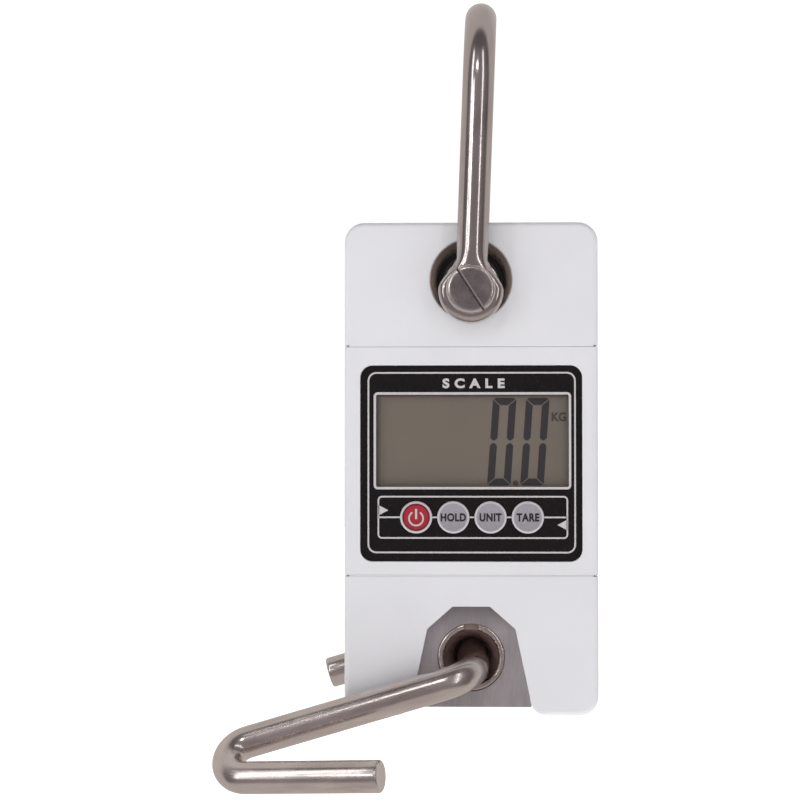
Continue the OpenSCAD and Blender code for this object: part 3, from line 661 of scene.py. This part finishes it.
def bow_ring(z_eye):
    """Points of the bow's section: x across, y towards the inside of the bow."""
    width = eye_width(z_eye) if z_eye < NECK_HIGH else BAR_R
    angles = [math.pi * ((k + 0.5) / BOW_COLUMNS - 0.5) for k in range(BOW_COLUMNS)]
    near = []
    for angle in angles:
        x = width * math.sin(angle)
        near.append((x, -eye_depth(x, z_eye) if z_eye < NECK_HIGH else -BAR_R * math.cos(angle)))
    return near + [(x, -y) for x, y in reversed(near)]


def bow_stations():
    """(ring, centre, direction towards the inside) from one eye's foot over the crown to the other's."""
    leg = REACH + BAR_R - LEG_Y
    eye = [-EYE_R * math.cos(math.radians(a)) for a in EYE_ROW_ANGLES]
    neck = [NECK_HIGH * (k + 1) / NECK_ROWS for k in range(NECK_ROWS)]
    shaft = [NECK_HIGH + (leg - NECK_HIGH) * (k + 1) / SHAFT_ROWS for k in range(SHAFT_ROWS - 1)]
    leg_rows = [(z, Vector((0, -LEG_Y, z)), Vector((0, 1, 0))) for z in eye + neck + shaft]
    arch = []
    for k in range(ARCH_ROWS + 1):
        a = math.pi * k / ARCH_ROWS
        centre = Vector((0, -LEG_Y * math.cos(a), leg + LEG_Y * math.sin(a)))
        arch.append((NECK_HIGH, centre, Vector((0, math.cos(a), -math.sin(a)))))
    far_rows = [(z, Vector((0, LEG_Y, c.z)), Vector((0, -1, 0))) for z, c, _ in reversed(leg_rows)]
    return leg_rows + arch + far_rows


def make_bow():
    """The bow, leaning on its pin as it does at rest."""
    place = Matrix.Translation(PIN) @ Matrix.Rotation(LEAN, 4, "Y")
    rings, along, last = [], [], None
    for z_eye, centre, inward in bow_stations():
        rings.append([place @ (centre + Vector((x, 0, 0)) + inward * y) for x, y in bow_ring(z_eye)])
        along.append(0 if last is None else along[-1] + (centre - last).length)
        last = centre
    mesh = loft("bow", rings, along, 2 * math.pi * BAR_R)
    bow = add_piece("bow", mesh, POLISHED_BAR, "shackle")
    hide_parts("shackle_bow")


make_bow()

# ---- Hook: one bar bent three times ----

HOOK_SPAN = 40.4 * MM
SHANK = 59.2 * MM
REAR_LEG = 38.5 * MM
LOOP_BEND = 8.5 * MM
TIP_BEND = 6 * MM
TIP_TURN = math.radians(159.5)
TIP_RUN = 35.3 * MM
HOOK_DROP = math.radians(16.5)
HOOK_TWIST = math.radians(11.25)
TIP_PLANE = math.radians(28.2)
END_ROUND = 0.7 * MM
BEND_THINNING = 0.03
BEND_SPREAD = 0.4
HOOK_SIDES = 56


def turn(angle, axis):
    """A turn about one of the bar's own axes."""
    return Matrix.Rotation(angle, 4, axis)


def move(x, y, z):
    """A move along the bar's own axes."""
    return Matrix.Translation((x, y, z))


class BentBar:
    """Stations along a bar: where its centre is, its length so far, and how much a bend flattens it."""

    def __init__(self, start):
        self.stations = [(start, 0.0, 0.0)]

    def straight(self, length, steps=8, twist=0.0):
        """Runs on, while the plane of the next bend turns by twist."""
        start, before, _ = self.stations[-1]
        for k in range(1, steps + 1):
            part = k / steps
            here = start @ move(0, 0, length * part) @ turn(twist * part, "Z")
            self.stations.append((here, before + length * part, 0.0))

    def bend(self, radius, angle, steps, side=1):
        """Bends towards the bar's own +X, or -X where side is -1."""
        start, before, _ = self.stations[-1]
        for k in range(1, steps + 1):
            a = angle * k / steps
            sideways, forwards = side * radius * (1 - math.cos(a)), radius * math.sin(a)
            here = start @ move(sideways, 0, forwards) @ turn(side * a, "Y")
            self.stations.append((here, before + radius * a, math.sin(math.pi * k / steps)))

    def skin(self, name):
        """A closed skin round the bar, thinner in the bending plane at each bend, with rounded ends."""
        arc = [math.radians(a) for a in (90, 67.5, 45, 22.5, 0)]
        rounding = [(END_ROUND * (1 - math.cos(a)), END_ROUND * (1 - math.sin(a))) for a in arc]
        first, last = self.stations[0], self.stations[-1]
        rows = [(first[0] @ move(0, 0, depth), depth, 0.0, BAR_R - inset) for inset, depth in rounding]
        rows += [(place, along, flat, BAR_R) for place, along, flat in self.stations[1:-1]]
        rows += [
            (last[0] @ move(0, 0, -depth), last[1] - depth, 0.0, BAR_R - inset)
            for inset, depth in reversed(rounding)
        ]
        rings = []
        for place, _, flat, r in rows:
            angles = [2 * math.pi * k / HOOK_SIDES for k in range(HOOK_SIDES)]
            thin = r * (1 - BEND_THINNING * flat)
            wide = r * (1 + BEND_THINNING * flat * BEND_SPREAD)
            rings.append([place @ Vector((thin * math.cos(a), wide * math.sin(a), 0)) for a in angles])
        return loft(name, rings, [row[1] for row in rows], 2 * math.pi * BAR_R)


def make_hook():
    """The hook, hanging aslant in its hole as it does at rest."""
    rest = Matrix.Translation(HOLE) @ turn(math.pi / 2 - HOOK_DROP, "Y") @ turn(HOOK_TWIST, "Z")
    bar = BentBar(rest @ move(0, HOOK_SPAN / 2, -REAR_LEG) @ turn(-math.pi / 2, "Z"))
    bar.straight(REAR_LEG - LOOP_BEND)
    bar.bend(LOOP_BEND, math.pi / 2, steps=20)
    bar.straight(HOOK_SPAN - 2 * LOOP_BEND)
    bar.bend(LOOP_BEND, math.pi / 2, steps=20)
    bar.straight(SHANK - LOOP_BEND, steps=14, twist=-TIP_PLANE)
    bar.bend(TIP_BEND, TIP_TURN, steps=36, side=-1)
    bar.straight(TIP_RUN)
    hook = add_piece("hook_bar", bar.skin("hook_bar"), SATIN_BAR, "hook")
    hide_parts("lower_hook")


make_hook()

# ---- Painted shade in the hook's hole ----

SHADE_BAND_REACH = 0.3 * MM
SHADE_BAND_INNER_R = BAR_R - 0.1 * MM
SHADE_BAND_OUTER_R = BAR_R + 0.42 * MM


def hole_circle(r, y):
    """Points of a circle round the axis of the hook's hole."""
    angles = [2 * math.pi * k / HOOK_SIDES for k in range(HOOK_SIDES)]
    return [HOLE + Vector((r * math.cos(a), y, r * math.sin(a))) for a in angles]


def make_throat_shade():
    """A dark brown band of painted shade that fills the gap between the bar and the throat of the lower
    bush.
    """
    profile = [
        (SHADE_BAND_INNER_R, -SHADE_BAND_REACH), (SHADE_BAND_OUTER_R, -SHADE_BAND_REACH),
        (SHADE_BAND_OUTER_R, SHADE_BAND_REACH), (SHADE_BAND_INNER_R, SHADE_BAND_REACH),
    ]
    rings = [hole_circle(r, y) for r, y in profile]
    mesh = loft("throat_shade_band", rings, [y for _, y in profile], 2 * math.pi * BAR_R)
    add_piece("throat_shade_band", mesh, THROAT_SHADE, "bush")


make_throat_shade()

# ---- Print on the keypad overlay, the display and the keys ----
#
# All its outlines, widths and places are in millimetres right of and above the shackle's pin. The layers
# along Y are in metres.

INK_T = 0.02 * MM
OVERLAY_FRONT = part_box("keypad_overlay")[0][1]
DISPLAY_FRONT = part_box("lcd_glass")[0][1]
KEY_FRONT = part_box("hold_button")[0][1]
WINDOW_Z = (middle("display_window").z - PIN.z) / MM
WINDOW_X = (middle("display_window").x - PIN.x) / MM
ROW_Z = (middle("hold_button").z - PIN.z) / MM


def plate(outlines, front):
    """A thin mesh of flat shapes in X and Z, given by outlines in millimetres from the pin."""
    build = bmesh.new()
    for outline in outlines:
        near = [build.verts.new(on_face(x, z, front)) for x, z in outline]
        far = [build.verts.new(on_face(x, z, front + INK_T)) for x, z in outline]
        build.faces.new(near)
        build.faces.new(far[::-1])
        for k in range(len(outline)):
            n = (k + 1) % len(outline)
            build.faces.new((near[k], far[k], far[n], near[n]))
    bmesh.ops.remove_doubles(build, verts=build.verts, dist=0.0001 * MM)
    bmesh.ops.recalc_face_normals(build, faces=build.faces)
    mesh = bpy.data.meshes.new("print")
    build.to_mesh(mesh)
    build.free()
    return mesh


def arc_points(x, z, r, start, end, steps=6):
    """Points along an arc round x and z, from one angle in degrees to another."""
    angles = [math.radians(start + (end - start) * k / steps) for k in range(steps + 1)]
    return [(x + r * math.cos(a), z + r * math.sin(a)) for a in angles]


def rounded_loop(x, z, w, h, r):
    """Points round a rectangle with round corners, centred on x and z."""
    points = []
    for side_x, side_z, start in ((1, 1, 0), (-1, 1, 90), (-1, -1, 180), (1, -1, 270)):
        corner_x, corner_z = x + side_x * (w / 2 - r), z + side_z * (h / 2 - r)
        points += arc_points(corner_x, corner_z, r, start, start + 90)
    return points


def line_frame(x, z, w, h, r, line):
    """Outlines that make a rounded frame, w by h along the middle of its line."""
    outer = rounded_loop(x, z, w + line, h + line, r + line / 2)
    inner = rounded_loop(x, z, w - line, h - line, r - line / 2)
    pairs = list(zip(outer, inner))
    return [[pairs[k - 1][0], pairs[k][0], pairs[k][1], pairs[k - 1][1]] for k in range(len(pairs))]


def stroke(points, line):
    """Outlines of a line of even width through points."""
    shapes = []
    for (x0, z0), (x1, z1) in zip(points, points[1:]):
        length = math.hypot(x1 - x0, z1 - z0)
        dx, dz = -(z1 - z0) / length * line / 2, (x1 - x0) / length * line / 2
        shapes.append([(x0 + dx, z0 + dz), (x0 - dx, z0 - dz), (x1 - dx, z1 - dz), (x1 + dx, z1 + dz)])
    return shapes


KEY_BOX_X = WINDOW_X + 0.2
KEY_BOX_W = 47.6
KEY_BOX_H = 10.4
LINE_W = 0.4
KEY_GAP = 0.05
POINTER_HALF = 1.33
POINTER_REACH = 2.5


def key_line(left, right):
    """The line that runs through the box at the height of the keys, broken at each key."""
    key_r = size("hold_button").x / 2 / MM + KEY_GAP
    names = ("power_button", "hold_button", "unit_button", "tare_button")
    keys = [(middle(name).x - PIN.x) / MM for name in names]
    edges = [left] + [e for x in keys for e in (x - key_r, x + key_r)] + [right]
    shapes = []
    for start, end in zip(edges[::2], edges[1::2]):
        shapes += stroke([(start, ROW_Z), (end, ROW_Z)], LINE_W)
    return shapes


def pointer(x, z, way):
    """A small triangle that points right where way is 1, and left where it is -1."""
    return [(x, z + POINTER_HALF), (x, z - POINTER_HALF), (x + way * POINTER_REACH, z)]


def overlay_print():
    """White lines: a border, the window's frame, and the box round the keys with its two pointers."""
    left, right = KEY_BOX_X - KEY_BOX_W / 2, KEY_BOX_X + KEY_BOX_W / 2
    shapes = line_frame(x=0.12, z=-43.1, w=52.1, h=45.3, r=2.0, line=0.42)
    shapes += line_frame(x=WINDOW_X + 0.1, z=WINDOW_Z, w=49.2, h=23.9, r=0.75, line=0.62)
    shapes += line_frame(x=KEY_BOX_X, z=ROW_Z, w=KEY_BOX_W, h=KEY_BOX_H, r=0.9, line=LINE_W)
    shapes += key_line(left, right)
    shapes.append(pointer(left, ROW_Z + 1.78, way=1))
    shapes.append(pointer(right, ROW_Z - 1.9, way=-1))
    mesh = plate(shapes, OVERLAY_FRONT - INK_T)
    add_piece("overlay_print", mesh, INK_LIGHT, "case")


DIGIT_W = 5.95
DIGIT_H = 22.2
SEGMENT_W = 1.82
SEGMENT_GAP = 0.16
DIGIT_SLANT = math.tan(math.radians(4.0))
TENS_X = WINDOW_X + 7.56
UNITS_X = WINDOW_X + 15.92
POINT_X = WINDOW_X + 11.03
POINT_R = 0.68
DIGITS_Z = WINDOW_Z - 0.25


def zero(x, z):
    """Outlines of a seven-segment nought whose middle bar is off, centred on x and z."""
    w, h, t, g = DIGIT_W / 2, DIGIT_H / 2, SEGMENT_W, SEGMENT_GAP
    cut = 0.55
    point = 0.75
    cap = [
        (-w + cut + g, h), (w - cut - g, h), (w - 0.25 * cut - g, h - 0.35),
        (w - t - g, h - t), (-w + t + g, h - t), (-w + 0.25 * cut + g, h - 0.35),
    ]
    side = [
        (-w, h - cut - g), (-w + 0.1, h - 0.3 - g), (-w + t, h - t - g), (-w + t, point + 0.25),
        (-w + t * 0.66, 0.35), (-w + t * 0.34, 0.35), (-w, point + 0.25),
    ]
    shapes = []
    for flip in (1, -1):
        shapes.append([(px, flip * pz) for px, pz in cap])
        for mirror in (1, -1):
            shapes.append([(mirror * px, flip * pz) for px, pz in side])
    return [[(x + px + pz * DIGIT_SLANT, z + pz) for px, pz in shape] for shape in shapes]


def display_segments():
    """The reading 0.0: two noughts and the point between them."""
    front = DISPLAY_FRONT - INK_T
    digits = plate(zero(TENS_X, DIGITS_Z) + zero(UNITS_X, DIGITS_Z), front)
    add_piece("display_digits", digits, SEGMENT, "case")
    point = arc_points(POINT_X, DIGITS_Z - DIGIT_H / 2 + POINT_R, POINT_R, 0, 360, steps=24)[:-1]
    add_piece("display_point", plate([point], front), LEGEND, "case")


def lettering(name, words, x, z, height, front, material, body, bold, spacing=1.0, squeeze=1.0):
    """Plain capital letters, height millimetres tall, centred on x and z and facing forwards."""
    curve = bpy.data.curves.new(name, "FONT")
    curve.body = words
    curve.align_x = "CENTER"
    curve.align_y = "CENTER"
    curve.size = 1
    curve.offset = bold
    curve.space_character = spacing
    curve.extrude = 0.01
    draft = bpy.data.objects.new(name + "_draft", curve)
    bpy.context.scene.collection.objects.link(draft)
    mesh = bpy.data.meshes.new_from_object(draft.evaluated_get(bpy.context.evaluated_depsgraph_get()))
    bpy.data.objects.remove(draft)
    low = Vector(min(v.co[i] for v in mesh.vertices) for i in range(3))
    high = Vector(max(v.co[i] for v in mesh.vertices) for i in range(3))
    scale = height * MM / (high.y - low.y)
    centre = on_face(x, z, front)
    for v in mesh.vertices:
        v.co = (
            centre.x + (v.co.x - (low.x + high.x) / 2) * scale * squeeze,
            front + INK_T * (0 if v.co.z > 0 else 1),
            centre.z + (v.co.y - (low.y + high.y) / 2) * scale,
        )
    mesh.materials.clear()
    mesh.name = name
    return add_piece(name, mesh, material, body)


POWER_RING_R = 1.78
POWER_RING_LINE = 0.42
POWER_BAR_HALF = 0.26
POWER_BAR_FOOT = 0.15
POWER_BAR_TOP = 2.4


def power_symbol():
    """The sign of a power key: a ring that is open at the top, with an upright bar in the gap."""
    x = (middle("power_button").x - PIN.x) / MM
    z = ROW_Z - 0.28
    ring = arc_points(x, z, POWER_RING_R, 122, 418, steps=40)
    left, right = x - POWER_BAR_HALF, x + POWER_BAR_HALF
    foot, top = z - POWER_BAR_FOOT, z + POWER_BAR_TOP
    shapes = stroke(ring, POWER_RING_LINE) + [[(left, foot), (right, foot), (right, top), (left, top)]]
    add_piece("power_symbol", plate(shapes, KEY_FRONT - INK_T), INK_LIGHT, "power_key")


overlay_print()
display_segments()
power_symbol()
lettering(
    "display_unit", "KG", x=WINDOW_X + 22.0, z=WINDOW_Z + 6.05, height=2.3, front=DISPLAY_FRONT - INK_T,
    material=LEGEND, body="case", bold=0.04, squeeze=0.95,
)
lettering(
    "heading", "SCALE", x=0.65, z=-23.1, height=2.5, front=OVERLAY_FRONT - INK_T,
    material=INK_LIGHT, body="case", bold=0.045, spacing=1.75, squeeze=1.14,
)
for key in ("hold", "unit", "tare"):
    key_x = (middle(key + "_button").x - PIN.x) / MM
    lettering(
        key + "_legend", key.upper(), x=key_x, z=ROW_Z, height=2.1, front=KEY_FRONT - INK_T,
        material=INK_DARK, body=key + "_key", bold=0.045, spacing=1.1, squeeze=0.83,
    )

# ---- Studio ----

FRONT_GREY = (0.30, 0.265, 0.275)
SIDE_GREY = (0.17, 0.155, 0.16)
HIGH_GREY = (0.14, 0.13, 0.135)
BACK_GREY = (0.62, 0.575, 0.555)
LOW_GREY = (0.60, 0.555, 0.535)
FLOOR_GLOW = 0.8
FLOOR_DROP = 0.12
FLOOR_HALF = 6


def make_floor():
    """A pale floor well below the hanging scale."""
    mesh = bpy.data.meshes.new("floor")
    build = bmesh.new()
    bmesh.ops.create_grid(build, x_segments=8, y_segments=8, size=FLOOR_HALF)
    for v in build.verts:
        v.co.z = cad_box[0].z - FLOOR_DROP
    build.to_mesh(mesh)
    build.free()
    look = Look("floor_paper", Specular_IOR_Level=0.1)
    fibre = look.noise(evenly(300), detail=4)
    look.wear(
        look.colour(look.span(fibre, 0, 1), (0.86, 0.86, 0.86), (0.88, 0.88, 0.88)),
        look.span(fibre, 0.7, 0.8),
    )
    look.shader.inputs["Emission Color"].default_value = (1, 1, 1, 1)
    look.shader.inputs["Emission Strength"].default_value = FLOOR_GLOW
    mesh.materials.append(look.material)
    floor = bpy.data.objects.new("floor", mesh)
    floor.visible_glossy = False
    bpy.context.scene.collection.objects.link(floor)


def make_world():
    """A white surround for the camera. What lights and mirrors in the scale is a warm grey studio:
    pale behind it and below it, darker in front, darker still at the sides, and darkest high in front."""
    world = bpy.data.worlds.new("studio")
    bpy.context.scene.world = world
    world.use_nodes = True
    tree = world.node_tree
    tree.nodes.clear()

    def add(kind, **values):
        """Adds a node to the world and sets its inputs."""
        made = tree.nodes.new("ShaderNode" + kind)
        for key, value in values.items():
            made.inputs[key].default_value = value
        return made

    def fade(value, start, end, first, second):
        """A colour that turns from first into second while a value goes from start to end."""
        part = add("MapRange", **{"From Min": start, "From Max": end})
        part.interpolation_type = "SMOOTHSTEP"
        tree.links.new(value, part.inputs["Value"])
        mix = add("Mix")
        mix.data_type = "RGBA"
        for socket, colour in zip((mix.inputs["A"], mix.inputs["B"]), (first, second)):
            if isinstance(colour, tuple):
                socket.default_value = (*colour, 1)
            else:
                tree.links.new(colour, socket)
        tree.links.new(part.outputs[0], mix.inputs["Factor"])
        return mix.outputs["Result"]

    split = add("SeparateXYZ")
    tree.links.new(add("TexCoord").outputs["Generated"], split.inputs[0])
    front = fade(split.outputs["Y"], -1.0, -0.2, FRONT_GREY, SIDE_GREY)
    front = fade(split.outputs["Z"], 0.72, 0.86, front, HIGH_GREY)
    front = fade(split.outputs["Z"], -0.62, -0.38, LOW_GREY, front)
    room = fade(split.outputs["Y"], -0.2, -0.06, front, BACK_GREY)
    around = add("Background", Strength=1.0)
    tree.links.new(room, around.inputs["Color"])
    seen = add("Background", Color=(1, 1, 1, 1), Strength=1.05)
    mix = add("MixShader")
    tree.links.new(add("LightPath").outputs["Is Camera Ray"], mix.inputs[0])
    tree.links.new(around.outputs[0], mix.inputs[1])
    tree.links.new(seen.outputs[0], mix.inputs[2])
    tree.links.new(mix.outputs[0], add("OutputWorld").inputs[0])


def softbox(name, azimuth, elevation, distance, width, height, power, mirrored=True):
    """A soft light turned towards the case. Azimuth 0 is straight in front, and 90 is to the right."""
    light = bpy.data.lights.new(name, "AREA")
    light.shape = "RECTANGLE"
    light.size = width
    light.size_y = height
    light.energy = power
    a, e = math.radians(azimuth), math.radians(elevation)
    offset = Vector((math.sin(a) * math.cos(e), -math.cos(a) * math.cos(e), math.sin(e)))
    lamp = bpy.data.objects.new(name, light)
    lamp.location = middle("front_housing") + offset * distance
    lamp.rotation_mode = "QUATERNION"
    lamp.rotation_quaternion = (-offset).to_track_quat("-Z", "Y")
    lamp.visible_camera = False
    lamp.visible_glossy = mirrored
    bpy.context.scene.collection.objects.link(lamp)


make_floor()
make_world()
softbox("left_box", azimuth=-45, elevation=22, distance=1.0, width=0.09, height=1.0, power=1.2)
softbox("right_box", azimuth=33, elevation=22, distance=1.0, width=0.065, height=1.0, power=0.9)
softbox("high_box", azimuth=-11, elevation=33, distance=1.1, width=0.16, height=0.12, power=0.6)
softbox("low_box", azimuth=-32, elevation=13, distance=1.0, width=0.14, height=0.10, power=0.4)
softbox(
    "front_fill", azimuth=0, elevation=25, distance=1.1, width=0.9, height=0.6, power=0.8,
    mirrored=False,
)
softbox(
    "back_fill", azimuth=180, elevation=35, distance=1.1, width=1.0, height=0.8, power=2.6,
    mirrored=False,
)

# ---- Camera ----

VIEW_AZIMUTH = math.radians(2.0)
VIEW_ELEVATION = math.radians(-1.5)
VIEW_DISTANCE = 561.4 * MM
AIM_LEFT = 17.94 * MM
AIM_UP = 17.25 * MM
LENS_MM = 100
SENSOR_MM = 36
NEAR_CLIP = 10 * MM


def make_camera():
    """The camera in front of the scale. It aims at a point left of and above the case's middle, and stands
    a little right of that point and below it."""
    data = bpy.data.cameras.new("camera")
    data.lens = LENS_MM
    data.sensor_width = SENSOR_MM
    data.clip_start = NEAR_CLIP
    camera = bpy.data.objects.new("camera", data)
    bpy.context.scene.collection.objects.link(camera)
    case = middle("front_housing")
    aim = Vector((case.x - AIM_LEFT, FACE_Y, case.z + AIM_UP))
    back = Vector((
        math.sin(VIEW_AZIMUTH) * math.cos(VIEW_ELEVATION),
        -math.cos(VIEW_AZIMUTH) * math.cos(VIEW_ELEVATION),
        math.sin(VIEW_ELEVATION),
    ))
    camera.location = aim + back * VIEW_DISTANCE
    camera.rotation_mode = "QUATERNION"
    camera.rotation_quaternion = (-back).to_track_quat("-Z", "Y")
    bpy.context.scene.camera = camera


make_camera()
bpy.context.scene.view_settings.view_transform = "Standard"
